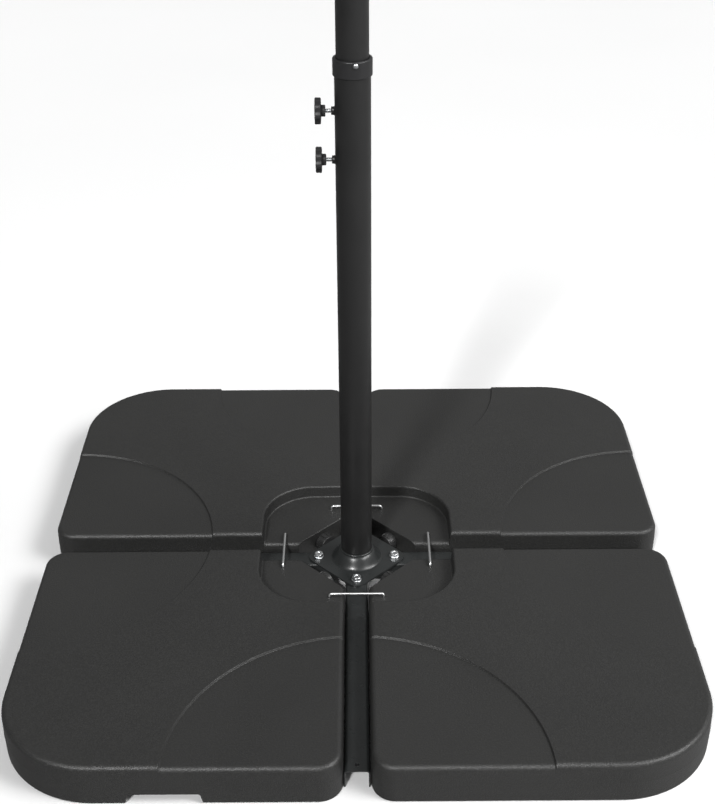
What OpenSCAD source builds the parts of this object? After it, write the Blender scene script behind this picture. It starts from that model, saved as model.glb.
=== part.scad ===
// Base for a garden parasol: four fillable weight plates round a steel cross, linked by wire clips,
// with a bolted flange, a stand tube, two clamp knobs and the pole section that they hold.
// Origin: middle of the cross, on the ground. +Z up, +X to the right, +Y to the back.

/* [Weight plates] */
// Width of the whole base over the four plates
base_span = 1000; // [900:10:1200]
// Clear gap between two neighbouring plates
plate_gap = 38; // [34:1:50]
// Height of a plate
plate_h = 66; // [54:1:90]
// Thickness of the moulded wall
plate_wall = 4; // [3:0.5:5]
// Radius of the corner at the outside of the base
outer_r = 145; // [100:5:180]
// Radius of the two corners beside the gaps
side_r = 33; // [20:1:45]
// Rounding of the upper edge
edge_r = 8; // [4:1:12]
// Height over the ground of the sunk middle that the four plates share
recess_z = 44.5; // [40:0.5:50]
// Half the width of the sunk middle
recess_half = 155; // [145:1:175]
// Corner radius of the sunk middle
recess_r = 85; // [40:5:100]
// Distance between the sunk middle and the lowered half disc at the middle of each side
panel_margin = 82; // [40:1:120]
// Depth of the lowered half discs
panel_drop = 3; // [1:0.5:4]
// Width of the hand grip at the foot of the outer wall
grip_w = 112; // [90:2:130]
// Height of the hand grip
grip_h = 17; // [12:1:22]
// Depth of the hand grip into the plate
grip_d = 32; // [20:1:45]

/* [Fillers] */
// Outer diameter of the filler neck
neck_d = 24; // [20:1:28]
// Bore of the filler neck
neck_bore_d = 18; // [12:1:20]
// How far the neck stands out of the diagonal wall
neck_len = 12.5; // [10:0.5:14]
// Outer diameter of the filler cap
cap_d = 32; // [30:1:34]
// Thickness of the filler cap's end
cap_floor = 2; // [1.5:0.5:3]
// Height of the filler's axis over the ground
filler_z = 22; // [20:1:24]
// Number of ribs round a filler cap
cap_ribs = 12; // [8:1:24]
// Thickness of the sealing washer in a cap
seal_t = 1.5; // [1:0.1:2]
// Room between a filler cap and the flange, which the cap needs to come off
cap_clear = 6; // [5.5:0.5:15]

/* [Clips] */
// Diameter of the clip's wire
clip_wire = 4; // [3:0.5:5]
// Distance between the clip's two legs
clip_span = 86; // [76:1:100]
// Distance of the clips from the middle of the base
clip_radius = 119; // [110:1:130]
// Height of the clip's bar over the sunk surface
clip_lift = 5.5; // [4:0.5:9]
// How deep the legs stand in the plates
clip_depth = 24; // [15:1:28]

/* [Cross] */
// How far a channel's tip stays behind the outer wall of the plates
arm_inset = 28; // [10:1:60]
// Width of a channel
arm_w = 36; // [26:1:37]
// Height of a channel
arm_h = 30; // [26:1:34]
// Thickness of the channel's sheet
arm_t = 2; // [1.5:0.5:3]
// Outer bend radius of the channel
arm_bend_r = 6; // [3:0.5:8]
// Distance of the hole in a tip from the end
tip_hole_inset = 12; // [8:1:20]
// Diameter of the hole in a tip
tip_hole_d = 6.5; // [4:0.5:9]

/* [Flange and bolts] */
// Side of the square flange
flange_side = 120; // [112:2:144]
// Corner radius of the flange
flange_corner_r = 17; // [8:1:20]
// Thickness of the flange's sheet
flange_t = 3; // [2:0.5:4]
// Width of the pressed dome, from the stand tube to its foot
dome_w = 17; // [12:1:22]
// Height of the dome over the flange
dome_h = 18; // [12:1:30]
// Distance of a bolt from the rounded corner of the flange
bolt_inset = 15.8; // [11:0.2:20]
// Diameter of the bolts
bolt_d = 8; // [6:1:10]
// Length of the bolts under their heads
bolt_len = 18; // [16:1:24]

/* [Stand tube and pole] */
// Outer diameter of the pole
pole_d = 45; // [38:1:54]
// Wall of the pole
pole_wall = 1.5; // [1:0.5:3]
// Room between the pole and the stand tube, which the collar and the bush fill
pole_room = 1; // [0.8:0.1:4]
// Wall of the stand tube
stand_wall = 1.5; // [1.5:0.5:3]
// Height of the top of the collar over the ground
collar_top = 865; // [700:5:1000]
// Height of the collar
collar_h = 24; // [20:1:40]
// Thickness of the collar's skirt
collar_wall = 2.2; // [1.5:0.1:4]
// How far the pole stands out of the collar
pole_rise = 235; // [150:5:500]
// Depth of the socket in the top of the pole, down to its rolled stop
socket_depth = 80; // [50:5:120]

/* [Clamp knobs] */
// Distance of the upper knob's axis below the top of the collar
knob_drop = 74; // [60:1:150]
// Distance between the two knobs
knob_spacing = 70; // [50:1:120]
// Outer diameter of a knob
knob_d = 36.5; // [30:0.5:45]
// Thickness of a knob's head
knob_t = 8.5; // [6:0.5:12]
// Number of lobes round a knob
knob_lobes = 7; // [5:1:10]
// Length of screw that shows between the weld nut and the knob
screw_show = 8; // [6:0.5:20]
// Diameter of a knob's hub
hub_d = 16; // [12:1:20]
// Length of a knob's hub
hub_len = 6; // [4:1:10]
// Diameter of the clamp screw
screw_d = 6; // [5:1:8]
// Diameter of the weld nut on the stand tube
nut_d = 11.5; // [10:0.5:16]
// How far the weld nut stands out of the tube
nut_len = 4.5; // [3:0.5:8]

/* [Fits] */
// Running clearance of a shaft in its bore, on the radius
run_gap = 0.05; // [0.02:0.01:0.1]
// Gap between two curved faces that only come close
free_gap = 0.3; // [0.3:0.1:1]

/* [Hidden] */
$fn = 64;
eps = 0.01;
half_span = base_span / 2;
gap_half = plate_gap / 2;
cap_gap = 0.5;                              // between the cap's rim and the plate's wall
cap_bore_depth = neck_len + seal_t - cap_gap;
cap_h = cap_bore_depth + cap_floor;
cut_dist = flange_side / 2 + cap_clear + cap_h + cap_gap;    // from the middle to the diagonal wall
cut_sum = round(cut_dist * sqrt(2));        // x + y on the diagonal wall, in whole millimetres
cut_mid = cut_sum / 2;
plate_mid = (half_span + gap_half) / 2;
panel_r = half_span - recess_half - panel_margin;
well_r = clip_wire / 2 + 0.4;
well_depth = clip_depth + 2;
clip_bar_z = recess_z + clip_lift;
clip_bend_r = clip_lift - 0.5;              // the bend ends above the plate, so the legs stay straight in it
arm_len = base_span - 2 * arm_inset;
flange_z = arm_h;
flange_top = flange_z + flange_t;
flange_corner_pos = flange_side / 2 - flange_corner_r;
bolt_dist = flange_corner_pos * sqrt(2) + flange_corner_r - bolt_inset;
washer_t = 1.6;
washer_d = 2 * bolt_d;
hex_af = 1.625 * bolt_d;
hex_d = hex_af / cos(30);
head_t = 0.66 * bolt_d;
nut_t = 0.8 * bolt_d;
pole_r = pole_d / 2;
stand_bore_r = pole_r + pole_room;
stand_r = stand_bore_r + stand_wall;
dome_r = stand_r + dome_w;
collar_lip = 3;
stand_top = collar_top - collar_lip;
collar_sleeve_len = 30;
collar_screw_angle = 9;
collar_screw_z = collar_top - 5;
collar_screw_d = 4;
collar_head_d = 7.5;
bush_z = arm_h + 40;
bush_len = 40;
foot_flange_t = 4;
foot_plug_len = 22;
pole_bottom = arm_h + free_gap + foot_flange_t;
pole_top = collar_top + pole_rise;
knob_z_upper = collar_top - knob_drop;
knob_z_lower = knob_z_upper - knob_spacing;
pad_t = 1.2;
pad_x = pole_r + free_gap;
screw_tip_x = pad_x + pad_t;
nut_x = stand_r + nut_len;
hub_x = nut_x + screw_show;
knob_x = hub_x + hub_len;

// Turn of each quadrant: the shapes below are drawn in the back right one
TURN_BACK_RIGHT = 0;
TURN_BACK_LEFT = 90;
TURN_FRONT_LEFT = 180;
TURN_FRONT_RIGHT = 270;

// ---------- plane shapes ----------

// What a rounded corner takes off a square corner that points to +x, +y
module corner_waste(r) {
    difference() {
        translate([-r, -r]) square([r + 1, r + 1]);
        translate([-r, -r]) circle(r);
    }
}

// Outline of one plate, drawn in by inset on every side
module plate_outline(inset) {
    near = gap_half + inset;
    far = half_span - inset;
    cut = cut_sum + inset * sqrt(2);
    difference() {
        translate([near, near]) square(far - near);
        translate([far, far]) corner_waste(outer_r - inset);
        translate([far, near]) rotate(-90) corner_waste(side_r - inset);
        translate([near, far]) rotate(90) corner_waste(side_r - inset);
        polygon([[near - 1, near - 1], [cut - near + 1, near - 1], [near - 1, cut - near + 1]]);
    }
}

module plate_slice(z, inset) {
    translate([0, 0, z]) linear_extrude(eps) plate_outline(inset);
}

// Quarter of the sunk middle, grown by more on its outer sides
module recess_outline(more) {
    difference() {
        translate([-1, -1]) square(recess_half + more + 1);
        translate([recess_half + more, recess_half + more]) corner_waste(recess_r);
    }
}

// ---------- weight plate ----------

// Solid body of a plate with rounded upper and lower edges
module plate_block() {
    hull() {
        plate_slice(0, 3);
        plate_slice(3, 0.5);
        plate_slice(plate_h / 2, 0);
        plate_slice(plate_h - edge_r, 0.8);
        plate_slice(plate_h - edge_r * 0.3, edge_r * 0.35);
        plate_slice(plate_h - eps, edge_r);
    }
}

// Hand grip under the middle of the outer wall, grown by more
module grip_space(more) {
    taper = 7;
    translate([plate_mid, half_span + 1, 0])
        rotate([90, 0, 0])
            linear_extrude(grip_d + 1 + more)
                polygon([[-grip_w / 2 - more, -1], [grip_w / 2 + more, -1],
                         [grip_w / 2 - taper + more, grip_h + more],
                         [-grip_w / 2 + taper - more, grip_h + more]]);
}

// Places of the two clip legs that stand in a plate
module at_clip_wells() {
    for (p = [[clip_span / 2, clip_radius], [clip_radius, clip_span / 2]])
        translate([p[0], p[1], 0]) children();
}

// Turns +Z to the filler's axis, out of the diagonal wall towards the middle
module at_filler() {
    translate([cut_mid, cut_mid, filler_z]) rotate([0, 0, 45]) rotate([0, -90, 0]) children();
}

// Hollow of a plate
module plate_cavity() {
    difference() {
        hull() {
            plate_slice(plate_wall, plate_wall + 1);
            plate_slice(plate_h / 2, plate_wall);
            plate_slice(plate_h - plate_wall - panel_drop - edge_r / 2, plate_wall + 1);
            plate_slice(plate_h - plate_wall - panel_drop, plate_wall + edge_r);
        }
        translate([0, 0, recess_z - plate_wall]) linear_extrude(plate_h) recess_outline(plate_wall);
        grip_space(plate_wall);
        at_clip_wells() cylinder(r = well_r + plate_wall / 2, h = plate_h);
    }
}

module weight_plate() {
    color([0.13, 0.13, 0.13])
        difference() {
            union() {
                difference() {
                    plate_block();
                    plate_cavity();
                }
                at_filler() translate([0, 0, -plate_wall]) cylinder(d = neck_d, h = neck_len + plate_wall);
            }
            translate([0, 0, recess_z]) linear_extrude(plate_h) recess_outline(0);
            for (p = [[half_span, 0], [0, half_span]])
                translate([p[0], p[1], plate_h - panel_drop]) cylinder(r = panel_r, h = plate_h);
            grip_space(0);
            at_clip_wells() translate([0, 0, recess_z - well_depth]) cylinder(r = well_r, h = plate_h);
            at_filler() translate([0, 0, -plate_wall - 3]) cylinder(d = neck_bore_d, h = neck_len + plate_wall + 4);
        }
}

// ---------- filler cap ----------

module filler_cap() {
    rib_d = 5.2;
    rib_top_gap = 1.5;
    body_r = cap_d / 2 - rib_d / 3;
    color([0.1, 0.1, 0.1])
        at_filler()
            translate([0, 0, cap_gap])
                difference() {
                    union() {
                        cylinder(r = body_r, h = cap_h);
                        for (i = [0:cap_ribs - 1])
                            rotate(i * 360 / cap_ribs)
                                translate([cap_d / 2 - rib_d / 2, 0, 0])
                                    cylinder(d = rib_d, h = cap_h - rib_top_gap, $fn = 16);
                    }
                    translate([0, 0, -1])
                        cylinder(r = neck_d / 2 + run_gap, h = cap_bore_depth + 1);
                }
}

module cap_seal() {
    color("dimgray")
        at_filler()
            translate([0, 0, neck_len])
                difference() {
                    cylinder(d = neck_d - 1, h = seal_t);
                    translate([0, 0, -1]) cylinder(d = neck_bore_d - 4, h = seal_t + 2);
                }
}

// ---------- wire clip ----------

// Round bend of the wire in the XZ plane, from pointing up to pointing along -x
module wire_bend(r) {
    rotate([90, 0, 0])
        rotate_extrude(angle = 90)
            translate([r, 0]) circle(d = clip_wire, $fn = 24);
}

// Bar along x, legs down
module link_clip() {
    leg_bottom = recess_z - clip_depth;
    bend_z = clip_bar_z - clip_bend_r;
    bar_half = clip_span / 2 - clip_bend_r;
    color("silver")
        translate([0, clip_radius, 0])
            union() {
                translate([-bar_half, 0, clip_bar_z])
                    rotate([0, 90, 0]) cylinder(d = clip_wire, h = 2 * bar_half, $fn = 24);
                for (side = [0, 1])
                    mirror([side, 0, 0]) {
                        translate([bar_half, 0, bend_z]) wire_bend(clip_bend_r);
                        translate([clip_span / 2, 0, leg_bottom])
                            cylinder(d = clip_wire, h = bend_z - leg_bottom, $fn = 24);
                    }
            }
}

// ---------- cross ----------

module channel_section(w, h, r) {
    translate([-w / 2, -1]) square([w, h - r + 1]);
    translate([-w / 2 + r, 0]) square([w - 2 * r, h]);
    for (side = [-1, 1]) translate([side * (w / 2 - r), h - r]) circle(r);
}

// Inverted channel along x with its bolt holes and tip holes
module channel() {
    difference() {
        rotate([90, 0, 90])
            translate([0, 0, -arm_len / 2])
                linear_extrude(arm_len)
                    difference() {
                        channel_section(arm_w, arm_h, arm_bend_r);
                        channel_section(arm_w - 2 * arm_t, arm_h - arm_t, arm_bend_r - arm_t);
                        translate([-arm_w, -2]) square([2 * arm_w, 2]);
                    }
        for (side = [-1, 1]) {
            translate([side * bolt_dist, 0, arm_h / 2]) cylinder(r = bolt_d / 2 + 0.25, h = arm_h);
            translate([side * (arm_len / 2 - tip_hole_inset), 0, arm_h / 2])
                cylinder(d = tip_hole_d, h = arm_h);
        }
    }
}

// The channel along x gives its upper half to the crossing
module arm_x() {
    lap = arm_w / 2 + free_gap;
    color([0.15, 0.15, 0.15])
        difference() {
            channel();
            translate([-lap, -arm_w, arm_h / 2]) cube([2 * lap, 2 * arm_w, arm_h]);
        }
}

// The channel along y gives its lower half to the crossing
module arm_y() {
    lap = arm_w / 2 + free_gap;
    color([0.15, 0.15, 0.15])
        difference() {
            rotate(90) channel();
            translate([-arm_w, -lap, -1]) cube([2 * arm_w, 2 * lap, arm_h / 2 + 1]);
        }
}

// ---------- flange, bolts and tube ----------

// Height of the dome over the flange at part t of the way in, from 0 at its foot to 1 at its top
function dome_rise(t) = (1 - cos(180 * t)) / 2;
function dome_curve(r_out, r_in, z0, h) =
    [for (i = [0:12]) [r_out + (r_in - r_out) * i / 12, z0 + h * dome_rise(i / 12)]];

module flange() {
    hole_r = stand_r + run_gap;
    outer_curve = dome_curve(dome_r, stand_r + 1.5, flange_top, dome_h);
    inner_curve = dome_curve(dome_r - flange_t, hole_r, flange_z, dome_h - flange_t);
    inner_back = [for (i = [12:-1:0]) inner_curve[i]];
    color([0.15, 0.15, 0.15])
        union() {
            difference() {
                rotate(45)
                    translate([0, 0, flange_z])
                        linear_extrude(flange_t)
                            union() {
                                square([flange_side, 2 * flange_corner_pos], center = true);
                                square([2 * flange_corner_pos, flange_side], center = true);
                                for (sx = [-1, 1], sy = [-1, 1])
                                    translate([sx, sy] * flange_corner_pos) circle(flange_corner_r);
                            }
                translate([0, 0, flange_z - 1]) cylinder(r = dome_r - flange_t, h = flange_t + 2);
                for (i = [0:3])
                    rotate(i * 90)
                        translate([bolt_dist, 0, 0]) cylinder(r = bolt_d / 2 + 0.25, h = 2 * arm_h);
            }
            rotate_extrude()
                polygon(concat(outer_curve, [[hole_r, flange_top + dome_h]], inner_back));
        }
}

module neck_weld() {
    bead = 2.6;
    z0 = flange_top + dome_h;
    color([0.17, 0.17, 0.17])
        rotate_extrude()
            polygon([[stand_r, z0], [stand_r + bead, z0], [stand_r + 0.75 * bead, z0 + 0.7 * bead],
                     [stand_r + 0.25 * bead, z0 + 1.15 * bead], [stand_r, z0 + 1.25 * bead]]);
}

module at_bolts() {
    for (i = [0:3]) rotate(i * 90) translate([bolt_dist, 0, 0]) children();
}

module flange_bolts() {
    seat = flange_top + washer_t;
    color("silver")
        at_bolts() {
            translate([0, 0, seat]) rotate(15) cylinder(d = hex_d, h = head_t, $fn = 6);
            translate([0, 0, seat - bolt_len]) cylinder(d = bolt_d, h = bolt_len);
        }
}

module flange_washers() {
    color("silver")
        at_bolts()
            translate([0, 0, flange_top])
                difference() {
                    cylinder(d = washer_d, h = washer_t);
                    translate([0, 0, -1]) cylinder(r = bolt_d / 2 + 0.2, h = washer_t + 2);
                }
}

module flange_nuts() {
    color("silver")
        at_bolts()
            translate([0, 0, arm_h - arm_t - nut_t])
                difference() {
                    rotate(15) cylinder(d = hex_d, h = nut_t, $fn = 6);
                    translate([0, 0, -1]) cylinder(r = bolt_d / 2, h = nut_t + 2);
                }
}

module stand_tube() {
    color([0.14, 0.14, 0.15])
        difference() {
            translate([0, 0, arm_h]) cylinder(r = stand_r, h = stand_top - arm_h);
            translate([0, 0, arm_h - 1]) cylinder(r = stand_bore_r, h = stand_top);
            for (z = [knob_z_upper, knob_z_lower])
                translate([-stand_r, 0, z]) rotate([0, 90, 0])
                    cylinder(r = screw_d / 2 + free_gap, h = stand_r, center = true);
        }
}

module guide_bush() {
    color("black")
        translate([0, 0, bush_z])
            difference() {
                cylinder(r = stand_bore_r, h = bush_len);
                translate([0, 0, -1]) cylinder(r = pole_r + run_gap, h = bush_len + 2);
            }
}

module collar() {
    skirt_r = stand_r + collar_wall;
    bevel = 1.5;
    color([0.12, 0.12, 0.12])
        difference() {
            union() {
                rotate_extrude()
                    polygon([[stand_r, collar_top - collar_h], [skirt_r - bevel / 2, collar_top - collar_h],
                             [skirt_r, collar_top - collar_h + bevel], [skirt_r, collar_top - bevel],
                             [skirt_r - bevel, collar_top], [pole_r + run_gap, collar_top],
                             [pole_r + run_gap, stand_top], [stand_r, stand_top]]);
                translate([0, 0, stand_top - collar_sleeve_len])
                    cylinder(r = stand_bore_r, h = collar_sleeve_len);
            }
            translate([0, 0, stand_top - collar_sleeve_len - 1])
                cylinder(r = pole_r + run_gap, h = collar_sleeve_len + collar_h);
            at_collar_screw() cylinder(d = collar_screw_d, h = 2 * collar_wall, center = true);
        }
}

// +Z runs outwards along the collar screw, from the outside of the collar
module at_collar_screw() {
    rotate(collar_screw_angle)
        translate([0, -stand_r - collar_wall, collar_screw_z]) rotate([90, 0, 0]) children();
}

module collar_screw() {
    color("silver")
        at_collar_screw() {
            translate([0, 0, -collar_wall]) cylinder(d = collar_screw_d, h = collar_wall);
            rotate_extrude()
                polygon([[0, 0], [collar_head_d / 2, 0], [collar_head_d / 2, 0.8],
                         [collar_head_d / 2 * 0.8, 1.9], [collar_head_d / 4, 2.6], [0, 2.8]]);
        }
}

// Tube with a rolled bead near its top, where the next section comes to rest
module pole() {
    bore_r = pole_r - pole_wall;
    bead_z = pole_top - socket_depth;
    bead = 1.2;
    bead_w = 4;
    color([0.14, 0.14, 0.15])
        rotate_extrude()
            polygon([[pole_r, pole_bottom], [pole_r, bead_z - bead_w], [pole_r - bead, bead_z - bead_w / 2],
                     [pole_r, bead_z], [pole_r, pole_top], [bore_r, pole_top], [bore_r, bead_z],
                     [bore_r - bead, bead_z - bead_w / 2], [bore_r, bead_z - bead_w],
                     [bore_r, pole_bottom]]);
}

module pole_foot() {
    color("black")
        union() {
            translate([0, 0, pole_bottom - foot_flange_t]) cylinder(r = pole_r, h = foot_flange_t);
            translate([0, 0, pole_bottom]) cylinder(r = pole_r - pole_wall - run_gap, h = foot_plug_len);
        }
}

// ---------- clamp knobs ----------

// +Z runs outwards along a clamp screw, from the pole's axis
module at_clamp(z) {
    translate([0, 0, z]) rotate([0, -90, 0]) children();
}

module clamp_nut(z) {
    color([0.15, 0.15, 0.15])
        difference() {
            at_clamp(z) cylinder(d = nut_d, h = nut_x);
            translate([0, 0, z]) cylinder(r = stand_r, h = 4 * nut_d, center = true);
            at_clamp(z) cylinder(r = screw_d / 2 + run_gap, h = 2 * nut_x);
        }
}

module clamp_screw(z) {
    color("silver")
        at_clamp(z) translate([0, 0, screw_tip_x]) cylinder(d = screw_d, h = hub_x - screw_tip_x);
}

module clamp_pad(z) {
    color("goldenrod")
        at_clamp(z) translate([0, 0, pad_x]) cylinder(r = screw_d / 2 - run_gap, h = pad_t);
}

module clamp_knob(z) {
    lobe_d = 8;
    core_r = knob_d / 2 - 2;
    color([0.1, 0.1, 0.1])
        at_clamp(z) {
            translate([0, 0, hub_x]) cylinder(d = hub_d, h = hub_len);
            translate([0, 0, knob_x])
                linear_extrude(knob_t)
                    union() {
                        circle(core_r);
                        for (i = [0:knob_lobes - 1])
                            rotate(i * 360 / knob_lobes)
                                translate([(knob_d - lobe_d) / 2, 0]) circle(d = lobe_d, $fn = 32);
                    }
        }
}

// ---------- the nodes ----------

rotate(TURN_FRONT_LEFT) weight_plate();  // plate_front_left
rotate(TURN_FRONT_RIGHT) weight_plate();  // plate_front_right
rotate(TURN_BACK_LEFT) weight_plate();  // plate_back_left
rotate(TURN_BACK_RIGHT) weight_plate();  // plate_back_right
rotate(TURN_FRONT_LEFT) filler_cap();  // filler_cap_front_left
rotate(TURN_FRONT_RIGHT) filler_cap();  // filler_cap_front_right
rotate(TURN_BACK_LEFT) filler_cap();  // filler_cap_back_left
rotate(TURN_BACK_RIGHT) filler_cap();  // filler_cap_back_right
rotate(TURN_FRONT_LEFT) cap_seal();  // cap_seal_front_left
rotate(TURN_FRONT_RIGHT) cap_seal();  // cap_seal_front_right
rotate(TURN_BACK_LEFT) cap_seal();  // cap_seal_back_left
rotate(TURN_BACK_RIGHT) cap_seal();  // cap_seal_back_right
rotate(180) link_clip();  // link_clip_front
link_clip();  // link_clip_back
rotate(90) link_clip();  // link_clip_left
rotate(270) link_clip();  // link_clip_right
arm_x();
arm_y();
flange();
neck_weld();
flange_bolts();
flange_washers();
flange_nuts();
stand_tube();
guide_bush();
collar();
collar_screw();
pole();
pole_foot();
clamp_nut(knob_z_upper);  // clamp_nut_upper
clamp_nut(knob_z_lower);  // clamp_nut_lower
clamp_knob(knob_z_upper);  // clamp_knob_upper
clamp_knob(knob_z_lower);  // clamp_knob_lower
clamp_screw(knob_z_upper);  // clamp_screw_upper
clamp_screw(knob_z_lower);  // clamp_screw_lower
clamp_pad(knob_z_upper);  // clamp_pad_upper
clamp_pad(knob_z_lower);  // clamp_pad_lower
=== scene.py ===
# %% [markdown]
# # A parasol base, piece by piece
# Four moulded weight plates lie round a steel cross. A flange bolted to the middle of the cross
# carries a stand tube, and a pole section stands in that tube, held by two clamp knobs. The sizes
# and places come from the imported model, which is loaded first: each piece made here takes the
# place of one of its nodes and rides on the same body, so it moves when the joints move.

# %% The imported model
import math

import bmesh
import bpy
from mathutils import Matrix, Vector


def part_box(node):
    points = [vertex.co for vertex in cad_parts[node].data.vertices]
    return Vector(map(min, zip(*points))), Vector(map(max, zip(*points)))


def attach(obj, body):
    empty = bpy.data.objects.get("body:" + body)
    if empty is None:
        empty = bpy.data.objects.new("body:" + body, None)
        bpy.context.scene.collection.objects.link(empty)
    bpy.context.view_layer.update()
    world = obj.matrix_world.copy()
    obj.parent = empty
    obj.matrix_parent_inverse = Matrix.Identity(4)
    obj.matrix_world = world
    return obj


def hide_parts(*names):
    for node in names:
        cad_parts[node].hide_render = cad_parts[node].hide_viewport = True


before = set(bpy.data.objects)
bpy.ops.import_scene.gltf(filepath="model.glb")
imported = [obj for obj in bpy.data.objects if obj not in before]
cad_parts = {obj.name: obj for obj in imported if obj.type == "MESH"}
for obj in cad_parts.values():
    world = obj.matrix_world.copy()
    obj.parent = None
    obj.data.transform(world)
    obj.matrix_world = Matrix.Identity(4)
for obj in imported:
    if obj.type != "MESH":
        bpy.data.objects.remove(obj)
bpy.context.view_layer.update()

# %% [markdown]
# ## Working by hand, in code
# Every piece is modelled the way it would be with the mouse: a primitive is added, shaped in edit
# mode, and finished with modifiers that are applied. An operator acts on all that is selected, so
# these small helpers select exactly what the next operator needs: one object, or the faces, edges
# or vertices that pass a test on their place.

# %% Selecting
MM = 0.001


def alone(*objects):
    """Selects these objects and nothing else. The last one is the active one."""
    bpy.ops.object.select_all(action="DESELECT")
    for obj in objects:
        obj.select_set(True)
    bpy.context.view_layer.objects.active = objects[-1]


def edit(obj, kind="FACE"):
    """Opens one object in edit mode with nothing selected."""
    alone(obj)
    bpy.ops.object.mode_set(mode="EDIT")
    bpy.ops.mesh.select_mode(type=kind)
    bpy.ops.mesh.select_all(action="DESELECT")


def leave():
    bpy.ops.object.mode_set(mode="OBJECT")


def middle(item):
    """Middle of an edge or a face, or the place of a vertex."""
    if isinstance(item, bmesh.types.BMVert):
        return item.co
    return sum((v.co for v in item.verts), Vector()) / len(item.verts)


def pick(test, kind="FACE"):
    """Selects what passes the test in the object that is open, and says how much that is."""
    bpy.ops.mesh.select_mode(type=kind)
    bpy.ops.mesh.select_all(action="DESELECT")
    mesh = bmesh.from_edit_mesh(bpy.context.edit_object.data)
    items = {"VERT": mesh.verts, "EDGE": mesh.edges, "FACE": mesh.faces}[kind]
    chosen = [item for item in items if test(item)]
    for item in chosen:
        item.select_set(True)
    bmesh.update_edit_mesh(bpy.context.edit_object.data)
    return len(chosen)


# %% [markdown]
# Three more helpers do what comes up on every piece. `added` applies a new primitive's place, so
# that its mesh holds it and the object stays at the origin. `modify` adds a modifier and applies
# it at once. `outward` closes seams and turns all faces to the outside, which a shape made by
# spinning or mirroring always needs.

# %% Adding, modifying and closing
def added():
    """The primitive that was just added, with its place in its mesh."""
    obj = bpy.context.object
    alone(obj)
    bpy.ops.object.transform_apply(location=True, rotation=True, scale=True)
    return obj


def modify(obj, kind, **settings):
    alone(obj)
    modifier = obj.modifiers.new(kind.title(), kind)
    for name, value in settings.items():
        setattr(modifier, name, value)
    bpy.ops.object.modifier_apply(modifier=modifier.name)


def carve(obj, cutter, operation="DIFFERENCE"):
    """Cuts one closed shape out of another, or joins it on, and throws the cutter away."""
    modify(obj, "BOOLEAN", operation=operation, object=cutter, solver="EXACT")
    bpy.data.objects.remove(cutter)


def outward(obj, merge=0.00001):
    edit(obj)
    bpy.ops.mesh.select_all(action="SELECT")
    bpy.ops.mesh.remove_doubles(threshold=merge)
    bpy.ops.mesh.normals_make_consistent(inside=False)
    leave()


def shifted(obj, place=(0, 0, 0), turn=(0, 0, 0)):
    """Turns a piece by degrees round X, Y and Z, moves it, and keeps its object at the origin."""
    obj.rotation_euler = [math.radians(a) for a in turn]
    obj.location = place
    alone(obj)
    bpy.ops.object.transform_apply(location=True, rotation=True, scale=True)
    return obj


def twin(obj, place=(0, 0, 0), turn=(0, 0, 0)):
    """A copy with a mesh of its own, turned and moved."""
    alone(obj)
    bpy.ops.object.duplicate(linked=False)
    return shifted(bpy.context.object, place, turn)


def joined(*objects):
    """Joins the objects into the last one."""
    alone(*objects)
    bpy.ops.object.join()
    return bpy.context.object


# %% [markdown]
# ## Turning on a lathe
# Tubes, caps, washers and collars are all round. A lathe is a circle whose edge is extruded again
# and again: each step moves the new ring up and scales it to the next radius. An arc between two
# straight stretches is only a few more points, so a small function works them out.

# %% The lathe
def arc(radius, height, size, start, stop, steps=5):
    """Points (radius, height) on a round corner, between two angles in degrees."""
    angles = [math.radians(start + (stop - start) * i / steps) for i in range(steps + 1)]
    return [(radius + size * math.cos(a), height + size * math.sin(a)) for a in angles]


def turned(outline, around=96, ring=True):
    """Turns (radius, height) points round Z: a ring, or a rod that is closed by flat ends."""
    radius, height = outline[0]
    bpy.ops.mesh.primitive_circle_add(vertices=around, radius=radius, location=(0, 0, height))
    obj = added()
    edit(obj, "EDGE")
    bpy.ops.mesh.select_all(action="SELECT")
    stops = outline[1:] + outline[:1] if ring else outline[1:]
    for next_radius, next_height in stops:
        climb = (0, 0, next_height - height)
        bpy.ops.mesh.extrude_edges_move(TRANSFORM_OT_translate={"value": climb})
        wider = next_radius / radius
        bpy.ops.transform.resize(value=(wider, wider, 1), center_override=(0, 0, 0))
        radius, height = next_radius, next_height
    if not ring:
        bpy.ops.mesh.select_all(action="SELECT")
        bpy.ops.mesh.fill_holes(sides=0)
    leave()
    outward(obj)
    return obj


# %% [markdown]
# ## Materials from nodes
# Every finish starts from one Principled shader. Colour, roughness and the fine relief come from
# noise read in the piece's own coordinates, in metres, so a scale of 1000 gives grains of about a
# millimetre. A number that is the same all over the piece is set on the shader itself.

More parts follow.
